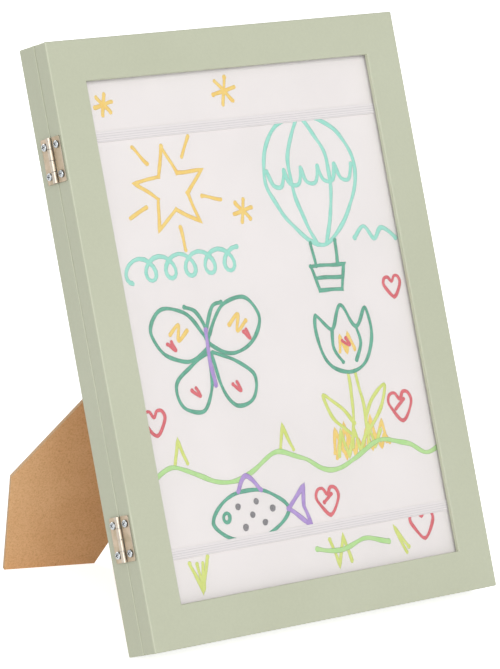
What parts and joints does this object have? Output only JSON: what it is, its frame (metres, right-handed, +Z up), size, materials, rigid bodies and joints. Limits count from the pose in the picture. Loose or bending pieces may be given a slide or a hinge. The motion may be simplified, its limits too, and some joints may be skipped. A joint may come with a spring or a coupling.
{
  "type": "childrens art frame",
  "caption": "Front-opening painted box frame that shows and stores sheets of children's art, with a glazed door, elastic bands and a folding easel strut.",
  "frame": {"origin": "middle of the footprint, on the table that the frame and its strut stand on", "axes": "+X to the right seen from the front, +Y from the front to the back, +Z up; the frame leans back 20 degrees about X"},
  "size_m": [0.2522, 0.199, 0.3238],
  "materials": {
    "sage_paint": "smooth satin sage-green paint on fibreboard",
    "hardboard": "bare brown fibreboard, fine mottled",
    "paper": "plain white paper",
    "drawing_paper": "white paper drawn on with felt-tip pens",
    "elastic": "white ribbed flat elastic",
    "clear_pane": "clear acrylic",
    "hinge_plate": "pale rose-nickel plated sheet",
    "zinc_steel": "bright zinc plate",
    "steel_wire": "plain steel wire",
    "magnet": "nickel plated"
  },
  "bodies": {
    "box": {"box_left_stile": "sage_paint", "box_right_stile": "sage_paint", "box_top_rail": "sage_paint", "box_bottom_rail": "sage_paint", "back_panel": "hardboard", "back_panel_brad_1": "steel_wire", "back_panel_brad_2": "steel_wire", "back_panel_brad_3": "steel_wire", "back_panel_brad_4": "steel_wire", "back_panel_brad_5": "steel_wire", "back_panel_brad_6": "steel_wire", "stored_sheets": "paper", "artwork_sheet": "drawing_paper", "upper_elastic_band": "elastic", "lower_elastic_band": "elastic", "upper_band_left_staple": "steel_wire", "upper_band_right_staple": "steel_wire", "lower_band_left_staple": "steel_wire", "lower_band_right_staple": "steel_wire", "upper_box_magnet": "magnet", "lower_box_magnet": "magnet", "upper_hinge_box_leaf": "hinge_plate", "lower_hinge_box_leaf": "hinge_plate", "upper_hinge_pin": "zinc_steel", "lower_hinge_pin": "zinc_steel", "upper_hinge_box_top_screw": "zinc_steel", "upper_hinge_box_bottom_screw": "zinc_steel", "lower_hinge_box_top_screw": "zinc_steel", "lower_hinge_box_bottom_screw": "zinc_steel", "portrait_hanger": "zinc_steel", "landscape_hanger": "zinc_steel", "portrait_hanger_left_nail": "steel_wire", "portrait_hanger_right_nail": "steel_wire", "landscape_hanger_left_nail": "steel_wire", "landscape_hanger_right_nail": "steel_wire", "strut_hinge_panel_leaf": "zinc_steel", "strut_hinge_pin": "zinc_steel", "panel_left_rivet": "zinc_steel", "panel_right_rivet": "zinc_steel"},
    "door": {"door_left_stile": "sage_paint", "door_right_stile": "sage_paint", "door_top_rail": "sage_paint", "door_bottom_rail": "sage_paint", "window_pane": "clear_pane", "left_pane_bead": "sage_paint", "right_pane_bead": "sage_paint", "top_pane_bead": "sage_paint", "bottom_pane_bead": "sage_paint", "upper_door_magnet": "magnet", "lower_door_magnet": "magnet", "upper_hinge_door_leaf": "hinge_plate", "lower_hinge_door_leaf": "hinge_plate", "upper_hinge_door_top_screw": "zinc_steel", "upper_hinge_door_bottom_screw": "zinc_steel", "lower_hinge_door_top_screw": "zinc_steel", "lower_hinge_door_bottom_screw": "zinc_steel"},
    "strut": {"easel_strut": "hardboard", "strut_hinge_leg_leaf": "zinc_steel", "strut_left_rivet": "zinc_steel", "strut_right_rivet": "zinc_steel"}
  },
  "joints": [
    {"name": "door_hinge", "type": "hinge", "parent": "box", "child": "door", "pos_m": [-0.12465, -0.0327, 0.16274], "axis": [0, -0.342, -0.9397], "range_deg": [0, 165]},
    {"name": "strut_hinge", "type": "hinge", "parent": "box", "child": "strut", "pos_m": [0.03295, -0.00065, 0.20301], "axis": [-0.9011, 0.1483, 0.4075], "range_deg": [0, 40.7]}
  ]
}
